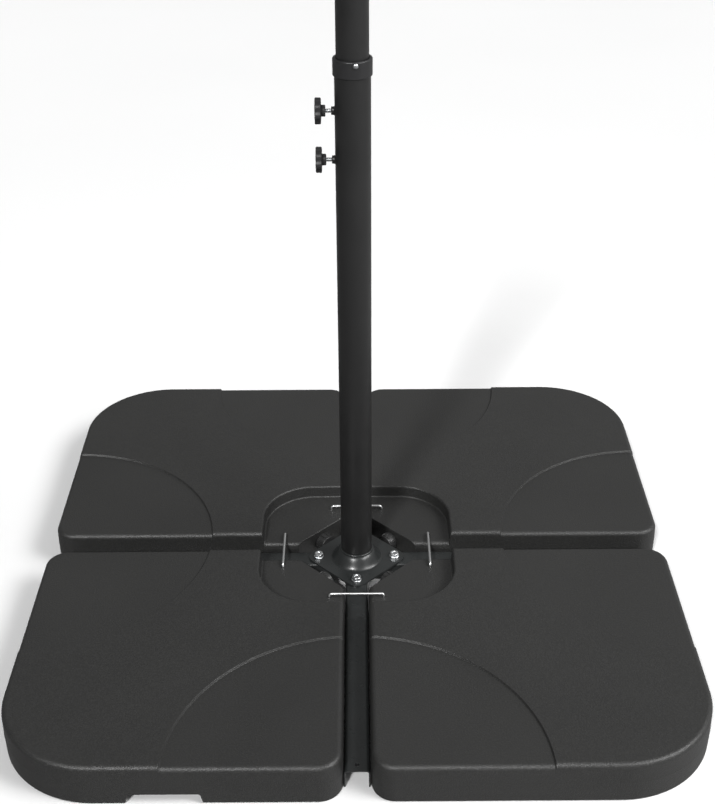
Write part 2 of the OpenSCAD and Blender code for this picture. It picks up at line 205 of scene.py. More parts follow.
# %% Material helpers
class Finish:
    """One node material, with short ways to add noise, a blend of two colours, and relief."""

    def __init__(self, name, **settings):
        self.material = bpy.data.materials.new(name)
        self.material.use_nodes = True
        self.tree = self.material.node_tree
        self.tree.nodes.clear()
        self.shader = self.tree.nodes.new("ShaderNodeBsdfPrincipled")
        output = self.tree.nodes.new("ShaderNodeOutputMaterial")
        self.tree.links.new(self.shader.outputs["BSDF"], output.inputs["Surface"])
        self.place = self.tree.nodes.new("ShaderNodeTexCoord").outputs["Object"]
        self.height = None
        for socket, value in settings.items():
            self.shader.inputs[socket.replace("_", " ")].default_value = value

    def stretched(self, x, y, z):
        """The piece's coordinates, squeezed or drawn out along its axes."""
        node = self.tree.nodes.new("ShaderNodeMapping")
        node.inputs["Scale"].default_value = (x, y, z)
        self.tree.links.new(self.place, node.inputs["Vector"])
        return node.outputs["Vector"]

    def noise(self, scale, detail=3.0, rough=0.5, place=None):
        node = self.tree.nodes.new("ShaderNodeTexNoise")
        node.inputs["Scale"].default_value = scale
        node.inputs["Detail"].default_value = detail
        node.inputs["Roughness"].default_value = rough
        self.tree.links.new(place or self.place, node.inputs["Vector"])
        return node.outputs["Fac"]

    def cells(self, scale):
        node = self.tree.nodes.new("ShaderNodeTexVoronoi")
        node.inputs["Scale"].default_value = scale
        self.tree.links.new(self.place, node.inputs["Vector"])
        return node.outputs["Distance"]

    def spread(self, value, low, high, start=0.3, stop=0.7):
        """Maps a noise between two numbers."""
        node = self.tree.nodes.new("ShaderNodeMapRange")
        names = ("From Min", "From Max", "To Min", "To Max")
        for socket, number in zip(names, (start, stop, low, high)):
            node.inputs[socket].default_value = number
        self.tree.links.new(value, node.inputs["Value"])
        return node.outputs["Result"]

    def between(self, value, dark, light, start=0.3, stop=0.7):
        """Blends two colours by a noise."""
        node = self.tree.nodes.new("ShaderNodeValToRGB")
        low, high = node.color_ramp.elements
        low.position, high.position = start, stop
        low.color, high.color = (*dark, 1), (*light, 1)
        self.tree.links.new(value, node.inputs["Fac"])
        return node.outputs["Color"]

    def mixed(self, first, second, share, way="MIX"):
        """Mixes two colours by a share, which is a number or a noise."""
        node = self.tree.nodes.new("ShaderNodeMix")
        node.data_type = "RGBA"
        node.blend_type = way
        if isinstance(share, float):
            node.inputs["Factor"].default_value = share
        else:
            self.tree.links.new(share, node.inputs["Factor"])
        self.tree.links.new(first, node.inputs["A"])
        self.tree.links.new(second, node.inputs["B"])
        return node.outputs["Result"]

    def feed(self, socket, value):
        self.tree.links.new(value, self.shader.inputs[socket])

    def relief(self, value, depth, strength=1.0):
        """Adds a layer of relief, depth metres deep, over the layers before it."""
        node = self.tree.nodes.new("ShaderNodeBump")
        node.inputs["Distance"].default_value = depth
        node.inputs["Strength"].default_value = strength
        self.tree.links.new(value, node.inputs["Height"])
        if self.height:
            self.tree.links.new(self.height, node.inputs["Normal"])
        self.height = node.outputs["Normal"]
        self.feed("Normal", self.height)


# %% [markdown]
# ### Moulded plastic of the plates
# The plates are blown from black polyethylene in a mould with a fine etched grain. Two noises
# make the grain, one of about a millimetre and a finer one, and they are strong enough to break
# the highlight on a rounded edge into sparkles. A broad noise varies the gloss, as handling and
# dust do.

# %% Plate plastic
def plate_plastic():
    finish = Finish("plate_plastic", IOR=1.5)
    cloud = finish.between(finish.noise(5, 4), (0.019, 0.019, 0.0185), (0.022, 0.022, 0.0213))
    grain = finish.noise(430, 3, 0.65)
    specks = finish.between(grain, (0.0, 0.0, 0.0), (0.016, 0.016, 0.0155), 0.42, 0.68)
    finish.feed("Base Color", finish.mixed(cloud, specks, 0.6, "ADD"))
    finish.feed("Roughness", finish.spread(finish.noise(9, 5), 0.36, 0.44))
    finish.relief(grain, 0.0007, 0.9)
    finish.relief(finish.noise(1300, 2, 0.6), 0.00012, 0.7)
    return finish.material


plate_finish = plate_plastic()
print("material:", plate_finish.name)

# %% [markdown]
# ### Black moulded trim
# Caps, knobs, collar, bush and the pole's foot are injection moulded. They are smoother than the
# plates, with only a faint orange peel, and a little glossier where fingers rub them.

# %% Trim plastics
def trim_plastic(name, shade, rough, peel):
    finish = Finish(name, IOR=1.48)
    dark = tuple(channel * 0.85 for channel in shade)
    finish.feed("Base Color", finish.between(finish.noise(60, 4), dark, shade))
    finish.feed("Roughness", finish.spread(finish.noise(120, 4), rough - 0.06, rough + 0.08))
    finish.relief(finish.noise(peel, 2), 0.00008, 0.5)
    finish.relief(finish.noise(3000, 2), 0.00002, 0.5)
    return finish.material


cap_finish = trim_plastic("cap_plastic", (0.028, 0.028, 0.028), 0.36, 500)
knob_finish = trim_plastic("knob_plastic", (0.024, 0.024, 0.025), 0.4, 700)
bush_finish = trim_plastic("bush_plastic", (0.02, 0.02, 0.021), 0.38, 500)
seal_finish = trim_plastic("seal_rubber", (0.05, 0.05, 0.05), 0.75, 1200)

# %% [markdown]
# ### Painted steel
# Tubes and cross are powder coated in satin black. The powder flows out into a shallow orange
# peel, and on the tubes the drawn steel shows through as faint streaks along their length.

# %% Powder coat
def powder_coat(name, shade, rough, streaks):
    finish = Finish(name, IOR=1.5)
    dark = tuple(channel * 0.82 for channel in shade)
    finish.feed("Base Color", finish.between(finish.noise(18, 5), dark, shade))
    finish.feed("Roughness", finish.spread(finish.noise(70, 4), rough - 0.05, rough + 0.07))
    if streaks:
        finish.relief(finish.noise(260, 3, place=finish.stretched(1, 1, 0.02)), 0.00005, 0.35)
    finish.relief(finish.noise(900, 2), 0.00005, 0.5)
    finish.relief(finish.noise(2600, 2), 0.00002, 0.5)
    return finish.material


cross_finish = powder_coat("cross_paint", (0.022, 0.024, 0.024), 0.3, False)
tube_finish = powder_coat("tube_paint", (0.016, 0.016, 0.016), 0.36, True)

# %% [markdown]
# ### Bright metals
# Bolts, washers, nuts and screws are zinc plated. Zinc has soft patches where the plating is a little
# bluer or duller. The clips are bright drawn wire with the same fine relief. The clamp screws' pads
# are brass.

# %% Zinc, wire and brass
def bright_metal(name, dull, bright, rough, patch):
    finish = Finish(name, Metallic=1.0)
    finish.feed("Base Color", finish.between(finish.noise(patch, 5), dull, bright, 0.35, 0.65))
    finish.feed("Roughness", finish.spread(finish.cells(patch * 3), rough, rough + 0.18, 0.0, 0.8))
    finish.relief(finish.noise(2500, 3), 0.00003, 0.4)
    return finish.material


zinc_finish = bright_metal("zinc_steel", (0.56, 0.58, 0.6), (0.86, 0.87, 0.87), 0.22, 350)
wire_finish = bright_metal("clip_wire", (0.75, 0.76, 0.76), (0.95, 0.95, 0.95), 0.26, 500)
brass_finish = bright_metal("pad_brass", (0.5, 0.35, 0.13), (0.75, 0.56, 0.27), 0.3, 400)

# %% [markdown]
# ## Putting a finished piece in the model
# The last steps are the same for every piece. Smooth shading is kept off hard edges by an angle,
# and the Weighted Normal modifier lets the large faces decide how the light turns, so that flats
# look flat and only the rounded edges are rounded. Then the piece gets its name, its material and
# its body.

# %% Finishing a piece
def placed(obj, name, body, slot, material, *nodes, crease=38):
    """Shades a finished piece, names it, and lets it stand for its nodes on their body."""
    alone(obj)
    bpy.ops.object.shade_smooth_by_angle(angle=math.radians(crease))
    modify(obj, "WEIGHTED_NORMAL", keep_sharp=True, weight=60)
    obj.name = name
    obj.data.name = name
    obj.data.materials.clear()
    obj.data.materials.append(material)
    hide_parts(*nodes)
    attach(obj, body)
    print(name, "has", len(obj.data.polygons), "faces")
    return obj


def kept(node, material):
    """A node whose shape is right as it is gets its finish."""
    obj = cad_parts[node]
    obj.data.materials.clear()
    obj.data.materials.append(material)


# %% [markdown]
# ## The weight plate: its outline
# A plate is a square with one big round corner outside and two smaller ones beside the gaps. It
# starts as a plane at the height of the mould's parting line, where the plate is widest.
# Bevelling a vertex rounds a corner. The inner corner stays square for now and is cut off later.

# %% Plate outline
TURNS = {"back_right": 0, "back_left": 90, "front_left": 180, "front_right": 270}
low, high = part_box("plate_back_right")
NEAR, FAR, TOP = low.x, high.x, high.z
SEAM = TOP / 2
OUTER_R = 145 * MM
SIDE_R = 33 * MM
EDGE_R = 8 * MM

centre = (NEAR + FAR) / 2
bpy.ops.mesh.primitive_plane_add(size=FAR - NEAR, location=(centre, centre, SEAM))
plate = added()
edit(plate, "VERT")
for x, y, radius, steps in (
        (FAR, FAR, OUTER_R, 28), (FAR, NEAR, SIDE_R, 12), (NEAR, FAR, SIDE_R, 12)):
    pick(lambda v: (v.co - Vector((x, y, SEAM))).length < MM, "VERT")
    bpy.ops.mesh.bevel(offset=radius, segments=steps, affect="VERTICES")
leave()
print("plate outline:", len(plate.data.vertices), "points, from", round(NEAR, 4), "to", round(FAR, 4))

# %% [markdown]
# ## The weight plate: wall and rounded edge
# The inset operator with a depth moves a face inwards and up at once, which is exactly how a wall
# with some draft rises. One face and a list of small steps make the bead at the parting line, the
# wall, and the rounding of the upper edge.

# %% Plate wall and edge
def rounding(radius, steps):
    """Inset steps (inwards, up) along a quarter circle, from an upright wall to a flat top."""
    angles = [math.radians(90 * i / steps) for i in range(steps + 1)]
    points = [(radius * (1 - math.cos(a)), radius * math.sin(a)) for a in angles]
    return [(b[0] - a[0], b[1] - a[1]) for a, b in zip(points, points[1:])]


def rise(steps):
    for inwards, up in steps:
        bpy.ops.mesh.inset(thickness=inwards, depth=up, use_even_offset=True)


DRAFT = 0.5 * MM
BEAD_W = 0.18 * MM
BEAD = [(0, 0.4 * MM), (BEAD_W, 0.3 * MM)]
bead_rise = sum(up for _, up in BEAD)
wall_rise = TOP - SEAM - bead_rise - EDGE_R

edit(plate)
bpy.ops.mesh.select_all(action="SELECT")
rise(BEAD + [(DRAFT, wall_rise)] + rounding(EDGE_R, 7))
leave()
shell_top = max(v.co.z for v in plate.data.vertices)
print("plate shell:", len(plate.data.polygons), "faces, top at", round(shell_top, 4))

# %% [markdown]
# ## The weight plate: sunk middle and half discs
# The rounded edge follows the top wherever the top is lowered: over the half discs by a few
# millimetres, and over the sunk middle, which all four plates share, by a lot. A boolean would
# leave a sharp edge there. Instead, the outlines of the lowered areas are cut into the shell's
# faces, as rings a millimetre or so apart, and then all that lies inside a ring is moved down by
# that ring's share. Upright walls do the cutting: Intersect leaves their trace in the shell, and
# the walls are deleted.

# %% Cutting outlines into the shell
FLOOR_Z = 44.5 * MM
SUNK_HALF = 155 * MM
SUNK_R = 85 * MM
DISC_R = 263 * MM


def disc_wall(centre_x, centre_y, radius):
    bpy.ops.mesh.primitive_cylinder_add(
        vertices=192, radius=radius, depth=1, end_fill_type="NOTHING",
        location=(centre_x, centre_y, 0))
    return added()


def square_wall(half, radius):
    """Upright wall on a square with rounded corners round the middle of the base."""
    bpy.ops.mesh.primitive_plane_add(size=2 * half, location=(0, 0, -0.5))
    wall = added()
    edit(wall, "VERT")
    bpy.ops.mesh.select_all(action="SELECT")
    bpy.ops.mesh.bevel(offset=radius, segments=20, affect="VERTICES")
    bpy.ops.mesh.select_all(action="SELECT")
    bpy.ops.mesh.delete(type="ONLY_FACE")
    bpy.ops.mesh.select_all(action="SELECT")
    bpy.ops.mesh.extrude_edges_move(TRANSFORM_OT_translate={"value": (0, 0, 1)})
    leave()
    return wall


def imprint(obj, walls):
    """Leaves the trace of upright walls in a shell. A second material tells the walls from the shell."""
    obj.data.materials.append(plate_finish)
    blade = bpy.data.materials.new("blade")
    for wall in walls:
        wall.data.materials.append(blade)
    joined(*walls, obj)
    edit(obj)
    pick(lambda f: f.material_index == 1)
    bpy.ops.mesh.intersect(mode="SELECT_UNSELECT", separate_mode="NONE", solver="EXACT")
    pick(lambda f: f.material_index == 1)
    bpy.ops.mesh.delete(type="FACE")
    leave()


# Rings of (distance outside the outline, depth), from the top of the step to its foot
disc_rings = [(1.3, 0), (0.9, 0.12), (0.35, 0.75), (-0.35, 2.25), (-0.9, 2.88), (-1.6, 3.0)]
sunk_depth = (TOP - FLOOR_Z) / MM
LIP_R, SUNK_FOOT_R = 4, 3
lip = [(LIP_R - a, LIP_R - b) for a, b in arc(0, 0, LIP_R, 90, 0)]
foot = [(a - LIP_R, sunk_depth - SUNK_FOOT_R + b) for a, b in arc(0, 0, SUNK_FOOT_R, 0, 90, 4)]
sunk_rings = lip + foot

walls = []
for out, _ in disc_rings:
    walls += [disc_wall(FAR, 0, DISC_R + out * MM), disc_wall(0, FAR, DISC_R + out * MM)]
for out, _ in sunk_rings:
    walls.append(square_wall(SUNK_HALF + out * MM, SUNK_R + out * MM))
imprint(plate, walls)
print("outlines cut in:", len(plate.data.polygons), "faces")

# %% [markdown]
# Intersect also leaves a few points in the middle of the wall, which are dissolved. Faces between
# two rings are long and bent, so they are cut into triangles before anything moves. Then the
# vertices of the upper edge and the top that lie on or inside a ring go down together. The lower
# part of the wall stays where it is, so the wall only becomes shorter.

# %% Lowering what lies inside the rings
HAIR = 0.02 * MM


def outside_square(x, y):
    """How far a point lies outside the outline of the sunk middle; inside it is negative."""
    dx, dy = x - (SUNK_HALF - SUNK_R), y - (SUNK_HALF - SUNK_R)
    return math.hypot(max(dx, 0), max(dy, 0)) + min(max(dx, dy), 0) - SUNK_R


def outside_discs(x, y):
    return min(math.hypot(x - FAR, y), math.hypot(x, y - FAR)) - DISC_R


def lower(rings, outside):
    """Moves the top down, ring by ring, inside each ring."""
    moved = 0
    edge_foot = TOP - EDGE_R - HAIR
    for (_, before), (out, after) in zip(rings, rings[1:]):
        limit = out * MM + HAIR
        floor = edge_foot - before * MM
        moved = pick(lambda v: v.co.z > floor and outside(v.co.x, v.co.y) < limit, "VERT")
        bpy.ops.transform.translate(value=(0, 0, (before - after) * MM))
    return moved


edit(plate)
pick(lambda v: SEAM + bead_rise + HAIR < v.co.z < TOP - EDGE_R - HAIR, "VERT")
bpy.ops.mesh.dissolve_verts()
pick(lambda f: len(f.verts) > 4 and len({round(outside_square(v.co.x, v.co.y), 5) for v in f.verts}) > 1
     and max(v.co.z for v in f.verts) > TOP - EDGE_R + HAIR)
bpy.ops.mesh.quads_convert_to_tris(quad_method="BEAUTY", ngon_method="BEAUTY")
print("lowered:", lower(disc_rings, outside_discs), "vertices in the discs,",
      lower(sunk_rings, outside_square), "in the sunk middle")
leave()

# %% [markdown]
# ## The weight plate: lower half and diagonal wall
# The open lower border becomes a face, which goes down in the same way as the upper half went up.
# The diagonal wall that faces the middle is made last: a bisect cuts the corner off and fills the
# cut. The bead runs out into the wall there, so that the wall's border can be bevelled all the
# way round.

# %% Lower half and diagonal wall
cap_low, cap_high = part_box("filler_cap_back_right")
cap_axis_z = (cap_low.z + cap_high.z) / 2
WALL_SUM = 116 * MM
WALL_R = 1.6 * MM
FOOT_R = 2.4 * MM
FOOT_DRAFT = 0.3 * MM
diagonal = Vector((1, 1, 0)).normalized()

edit(plate, "EDGE")
bpy.ops.mesh.select_non_manifold(extend=False)
bpy.ops.mesh.edge_face_add()
bpy.ops.mesh.select_all(action="SELECT")
bpy.ops.mesh.normals_make_consistent(inside=False)
pick(lambda f: all(abs(v.co.z - SEAM) < HAIR for v in f.verts)
     and f.normal.z < -0.9 and len(f.verts) > 40)
rise(BEAD + [(FOOT_DRAFT, SEAM - bead_rise - FOOT_R)] + rounding(FOOT_R, 3))

bpy.ops.mesh.select_all(action="SELECT")
bpy.ops.mesh.bisect(plane_co=(WALL_SUM / 2, WALL_SUM / 2, 0), plane_no=diagonal, use_fill=True,
                    clear_inner=True)


def on_wall(item):
    return all(abs(v.co.x + v.co.y - WALL_SUM) < HAIR for v in item.verts)


for side in (-1, 1):
    pick(lambda v: abs(v.co.x + v.co.y - WALL_SUM) < HAIR and abs(v.co.z - SEAM) < bead_rise - HAIR
         and (v.co.x - v.co.y) * side > 0, "VERT")
    bpy.ops.transform.translate(value=(-side * BEAD_W, side * BEAD_W, 0))
pick(on_wall, "EDGE")
bpy.ops.mesh.bevel(offset=WALL_R, segments=3, affect="EDGES")
leave()
outward(plate)
print("plate block:", len(plate.data.polygons), "faces")

# %% [markdown]
# ## The weight plate: grip, clip wells and filler neck
# The hand grip is a notch with sloping ends in the foot of the outer wall. Two wells take the
# legs of the wire clips, a little flared at the mouth. The filler neck is turned with two rings
# that stand for its thread and joined to the diagonal wall, and then its bore goes through into
# the plate.

# %% Grip
GRIP_W, GRIP_H, GRIP_DEEP, GRIP_SLOPE = 112 * MM, 17 * MM, 32 * MM, 7 * MM
bpy.ops.mesh.primitive_cube_add(size=1, location=(centre, FAR, 0),
                                scale=(GRIP_W, 2 * GRIP_DEEP, 2 * GRIP_H))
grip = added()
edit(grip)
pick(lambda f: f.normal.z > 0.9)
bpy.ops.transform.resize(value=(1 - 2 * GRIP_SLOPE / GRIP_W, 1, 1))
pick(lambda e: middle(e).z > GRIP_H - HAIR, "EDGE")
bpy.ops.mesh.bevel(offset=3 * MM, segments=4, affect="EDGES")
leave()
carve(plate, grip)
print("grip cut:", len(plate.data.polygons), "faces")

# %% Clip wells
clip_low, clip_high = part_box("link_clip_back")
WIRE_R = (clip_high.y - clip_low.y) / 2
CLIP_Y = (clip_low.y + clip_high.y) / 2
CLIP_X = clip_high.x - WIRE_R
WELL_R = WIRE_R + 0.4 * MM
WELL_BOTTOM = clip_low.z - 2 * MM
FLARE = 0.9 * MM

for x, y in ((CLIP_X, CLIP_Y), (CLIP_Y, CLIP_X)):
    well = turned([(WELL_R, WELL_BOTTOM), (WELL_R, FLOOR_Z - FLARE), (WELL_R + FLARE, FLOOR_Z + HAIR),
                   (WELL_R + FLARE, FLOOR_Z + 5 * MM)], 32, ring=False)
    carve(plate, shifted(well, (x, y, 0)))
print("wells cut at", round(CLIP_X, 4), round(CLIP_Y, 4))

# %% Filler neck
NECK_LEN = 12.5
FACING = (0, -90, 45)


def at_filler(obj):
    """Turns a piece that was made round Z to the filler of the back right plate."""
    return shifted(obj, (WALL_SUM / 2, WALL_SUM / 2, cap_axis_z), FACING)


# Everything below is in millimetres until it is turned
NECK_R, THREAD_R, BORE_R, AXIS_R = 11.35, 11.95, 9, 0.1
neck_outline = [(AXIS_R, -3), (NECK_R, -3)]
for height in (3.5, 6.5, 9.5):
    neck_outline += [(NECK_R, height - 0.9), (THREAD_R, height - 0.3),
                     (THREAD_R, height + 0.3), (NECK_R, height + 0.9)]
neck_outline += [(NECK_R, 12.1), (10.95, 12.5), (AXIS_R, NECK_LEN)]
neck = at_filler(turned([(r * MM, z * MM) for r, z in neck_outline], 72, ring=False))
carve(plate, neck, "UNION")
bore_outline = [(BORE_R, -14), (BORE_R, 12.1), (9.4, 12.6), (9.4, 14)]
bore = at_filler(turned([(r * MM, z * MM) for r, z in bore_outline], 72, ring=False))
carve(plate, bore)
print("plate with its neck:", len(plate.data.polygons), "faces")

# %% [markdown]
# The four plates come out of one mould, so the finished plate is copied and turned, each copy
# with its own mesh.

# %% Four plates
plates = [twin(plate, turn=(0, 0, TURNS[corner])) for corner in TURNS]
bpy.data.objects.remove(plate)
for corner, obj in zip(TURNS, plates):
    placed(obj, "weight_plate_" + corner, "stand", "plate_plastic", plate_finish, "plate_" + corner,
           crease=32)

# %% [markdown]
# ## Filler caps
# A filler cap is a small screw cap with twelve broad ribs round its skirt, for wet or dusty
# fingers. It is turned hollow on the lathe. Then groups of side faces are pushed out to make the
# ribs, and a Bevel modifier softens them. The ring and the dimple in the end are only more points
# on the outline.

# %% Filler cap
RIBS, RIB_SHARE, RIB_OUT = 12, 0.6, 1.5
FACES_PER_RIB = 10
CAP_GAP, CAP_H, CAP_R, CAP_BORE_DEPTH = 0.5, 15.5, 14.4, 13.5

cap_outline = [(0.5, CAP_BORE_DEPTH), (12.2, CAP_BORE_DEPTH), (12.2, 0), (14.6, 0), (CAP_R, 0.6),
               (CAP_R, 1.6)]
cap_outline += [(CAP_R, CAP_H - 2.4)] + arc(CAP_R - 1.4, CAP_H - 1.4, 1.4, 0, 90, 4)
cap_outline += [(11.4, CAP_H), (11.0, CAP_H - 0.5), (4.2, CAP_H - 0.5), (3.8, CAP_H - 0.2),
                (1.2, CAP_H - 0.2), (0.9, CAP_H - 0.5), (0.5, CAP_H - 0.5)]
cap = turned([(r * MM, z * MM) for r, z in cap_outline], RIBS * FACES_PER_RIB, ring=False)

edit(cap)


def on_rib(face):
    """True on the side faces that stand out as ribs."""
    here = middle(face)
    if math.hypot(here.x, here.y) < (CAP_R - 0.2) * MM or not 1.6 * MM < here.z < (CAP_H - 2.4) * MM:
        return False
    turn = math.degrees(math.atan2(here.y, here.x)) % 360
    return turn * RIBS / 360 % 1 < RIB_SHARE


pick(on_rib)
bpy.ops.mesh.extrude_region_shrink_fatten(TRANSFORM_OT_shrink_fatten={"value": RIB_OUT * MM})
leave()
outward(cap)
modify(cap, "BEVEL", width=0.5 * MM, segments=2, limit_method="ANGLE", angle_limit=math.radians(40))
cap = at_filler(shifted(cap, (0, 0, CAP_GAP * MM)))
for corner, turn in TURNS.items():
    obj = twin(cap, turn=(0, 0, turn))
    placed(obj, "filler_cap_" + corner + "_look", "cap_" + corner, "cap_plastic", cap_finish,
           "filler_cap_" + corner)
    kept("cap_seal_" + corner, seal_finish)
bpy.data.objects.remove(cap)

# %% [markdown]
# ## Wire clips
# Each clip is one length of bright wire with two bends and chamfered tips. It is drawn as it
# would be bent: a small circle is extruded up as the first leg, spun through a quarter turn,
# extruded along the bar, spun again, and extruded down.

# %% Wire clip
BEND_R = 5 * MM
BAR_Z = clip_high.z - WIRE_R
BAR_HALF = CLIP_X - BEND_R
leg_rise = BAR_Z - BEND_R - clip_low.z
TIP = 0.8 * MM

bpy.ops.mesh.primitive_circle_add(vertices=20, radius=WIRE_R - TIP, fill_type="NGON",
                                  location=(CLIP_X, CLIP_Y, clip_low.z))
clip = added()
edit(clip)


def push(x, y, z):
    bpy.ops.mesh.extrude_region_move(TRANSFORM_OT_translate={"value": (x, y, z)})


def swell(factor, place):
    bpy.ops.transform.resize(value=(factor, factor, 1), center_override=place)


bpy.ops.mesh.select_all(action="SELECT")
push(0, 0, TIP)
swell(WIRE_R / (WIRE_R - TIP), (CLIP_X, CLIP_Y, clip_low.z + TIP))
push(0, 0, leg_rise - TIP)
bpy.ops.mesh.spin(steps=10, angle=math.radians(90), axis=(0, 1, 0),
                  center=(BAR_HALF, CLIP_Y, BAR_Z - BEND_R))
push(-2 * BAR_HALF, 0, 0)
bpy.ops.mesh.spin(steps=10, angle=math.radians(90), axis=(0, 1, 0),
                  center=(-BAR_HALF, CLIP_Y, BAR_Z - BEND_R))
push(0, 0, TIP - leg_rise)
push(0, 0, -TIP)
swell((WIRE_R - TIP) / WIRE_R, (-CLIP_X, CLIP_Y, clip_low.z))
leave()
outward(clip)
clip_size = clip_high - clip_low
print("clip:", [round(x, 4) for x in clip.dimensions], "packed:", [round(x, 4) for x in clip_size])

for side, turn in (("back", 0), ("left", 90), ("front", 180), ("right", 270)):
    placed(twin(clip, turn=(0, 0, turn)), "wire_clip_" + side, "clip_" + side, "clip_wire", wire_finish,
           "link_clip_" + side)
bpy.data.objects.remove(clip)

# %% [markdown]
# ## The cross
# Both arms are channels folded from sheet, open below. A box without its underside and ends is
# the outside of the channel. Two edges are bevelled to make the bends, and Solidify gives the
# sheet its thickness inwards. Where the arms cross, each gives up half of its height.

# %% Channels
arm_low, arm_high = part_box("arm_x")
ARM_HALF, ARM_W, ARM_H = arm_high.x, arm_high.y - arm_low.y, arm_high.z
SHEET = 2 * MM
ARM_BEND = 6 * MM
BOLT_R = 4 * MM
BOLT_HOLE_R, TIP_HOLE_R = BOLT_R + 0.25 * MM, 3.25 * MM
bolt_low, bolt_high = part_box("flange_bolts")
washer_low, washer_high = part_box("flange_washers")
WASHER_R = 8 * MM
BOLT_AT = washer_high.x - WASHER_R
TIP_HOLE_AT = ARM_HALF - 12 * MM
LAP = ARM_W / 2 + 0.3 * MM


def channel():
    bpy.ops.mesh.primitive_cube_add(size=1, location=(0, 0, ARM_H / 2),
                                    scale=(2 * ARM_HALF, ARM_W, ARM_H))
    obj = added()
    edit(obj)
    pick(lambda f: f.normal.z < -0.9 or abs(f.normal.x) > 0.9)
    bpy.ops.mesh.delete(type="FACE")
    pick(lambda e: middle(e).z > ARM_H - HAIR and abs(middle(e).y) > ARM_W / 2 - HAIR, "EDGE")
    bpy.ops.mesh.bevel(offset=ARM_BEND, segments=8, affect="EDGES")
    leave()
    modify(obj, "SOLIDIFY", thickness=SHEET, offset=-1, use_even_offset=True)
    outward(obj)
    for side in (-1, 1):
        for at, radius in ((TIP_HOLE_AT, TIP_HOLE_R), (BOLT_AT, BOLT_HOLE_R)):
            bpy.ops.mesh.primitive_cylinder_add(vertices=40, radius=radius, depth=ARM_H,
                                                location=(side * at, 0, ARM_H))
            carve(obj, added())
    return obj


def lap_block(long_x, z0, z1):
    size = (2 * LAP, 2 * ARM_W, z1 - z0) if long_x else (2 * ARM_W, 2 * LAP, z1 - z0)
    bpy.ops.mesh.primitive_cube_add(size=1, location=(0, 0, (z0 + z1) / 2), scale=size)
    return added()


arm_x = channel()
arm_y = twin(arm_x, turn=(0, 0, 90))
carve(arm_x, lap_block(True, ARM_H / 2, 2 * ARM_H))
carve(arm_y, lap_block(False, -ARM_H, ARM_H / 2))
for obj, name in ((arm_x, "arm_x"), (arm_y, "arm_y")):
    modify(obj, "BEVEL", width=0.3 * MM, segments=2, limit_method="ANGLE", angle_limit=math.radians(60))
    placed(obj, "cross_channel_" + name[-1], "stand", "cross_paint", cross_finish, name)

# %% [markdown]
# ## The pressed flange
# The flange is a square sheet with round corners and a dome drawn up in its middle. A circle is
# the dome's foot. Going inwards it is extruded up along a soft S curve, outwards it is bridged to
# the square outline, which has the same number of points. Solidify then adds the sheet's
# thickness below.

# %% Flange
flange_low, flange_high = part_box("flange")
FLANGE_T = 3 * MM
FLANGE_TOP = flange_low.z + FLANGE_T
FLANGE_SIDE, FLANGE_CORNER = 120 * MM, 17 * MM
DOME_R, DOME_TOP = 42 * MM, flange_high.z
TUBE_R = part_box("stand_tube")[1].x
DOME_IN = TUBE_R + 1.5 * MM
CORNER_STEPS, DOME_STEPS = 15, 14
STRAIGHT = 0.35

half_point = math.radians(45 / (CORNER_STEPS + 1))
bpy.ops.mesh.primitive_circle_add(vertices=4 * (CORNER_STEPS + 1), radius=DOME_R,
                                  location=(0, 0, FLANGE_TOP), rotation=(0, 0, half_point))
flange = added()
bpy.ops.mesh.primitive_plane_add(size=FLANGE_SIDE, location=(0, 0, FLANGE_TOP),
                                 rotation=(0, 0, math.radians(45)))
sheet = added()
edit(sheet, "VERT")
bpy.ops.mesh.select_all(action="SELECT")
bpy.ops.mesh.bevel(offset=FLANGE_CORNER, segments=CORNER_STEPS, affect="VERTICES")
bpy.ops.mesh.select_all(action="SELECT")
bpy.ops.mesh.delete(type="ONLY_FACE")
leave()
flange = joined(sheet, flange)
edit(flange, "EDGE")
bpy.ops.mesh.select_all(action="SELECT")
bpy.ops.mesh.bridge_edge_loops()
pick(lambda e: all(math.hypot(v.co.x, v.co.y) < DOME_R + HAIR for v in e.verts), "EDGE")
radius, height = DOME_R, FLANGE_TOP
for step in range(1, DOME_STEPS + 1):
    share = step / DOME_STEPS
    next_radius = DOME_R + (DOME_IN - DOME_R) * share
    climb = STRAIGHT * share + (1 - STRAIGHT) * (1 - math.cos(math.pi * share)) / 2
    next_height = FLANGE_TOP + (DOME_TOP - FLANGE_TOP) * climb
    bpy.ops.mesh.extrude_edges_move(TRANSFORM_OT_translate={"value": (0, 0, next_height - height)})
    shrink = next_radius / radius
    bpy.ops.transform.resize(value=(shrink, shrink, 1), center_override=(0, 0, 0))
    radius, height = next_radius, next_height
bpy.ops.mesh.select_all(action="SELECT")
bpy.ops.mesh.normals_make_consistent(inside=False)
up_faces = pick(lambda f: f.normal.z > 0.2)
if up_faces < len(flange.data.polygons) / 2:
    bpy.ops.mesh.select_all(action="SELECT")
    bpy.ops.mesh.flip_normals()
leave()
modify(flange, "SOLIDIFY", thickness=FLANGE_T, offset=-1)
for turn in range(4):
    spot = Matrix.Rotation(turn * math.pi / 2, 3, "Z") @ Vector((BOLT_AT, 0, FLANGE_TOP))
    bpy.ops.mesh.primitive_cylinder_add(vertices=40, radius=BOLT_HOLE_R, depth=4 * FLANGE_T,
                                        location=spot)
    carve(flange, added())
modify(flange, "BEVEL", width=0.8 * MM, segments=3, limit_method="ANGLE", angle_limit=math.radians(60))
placed(flange, "flange_sheet", "stand", "cross_paint", cross_finish, "flange", crease=50)

# %% [markdown]
# ## The weld at the foot of the tube
# The bead is a ring that swells a little where each drop of weld set. It is a torus, and one in
# four of the rings of its mesh is fattened.

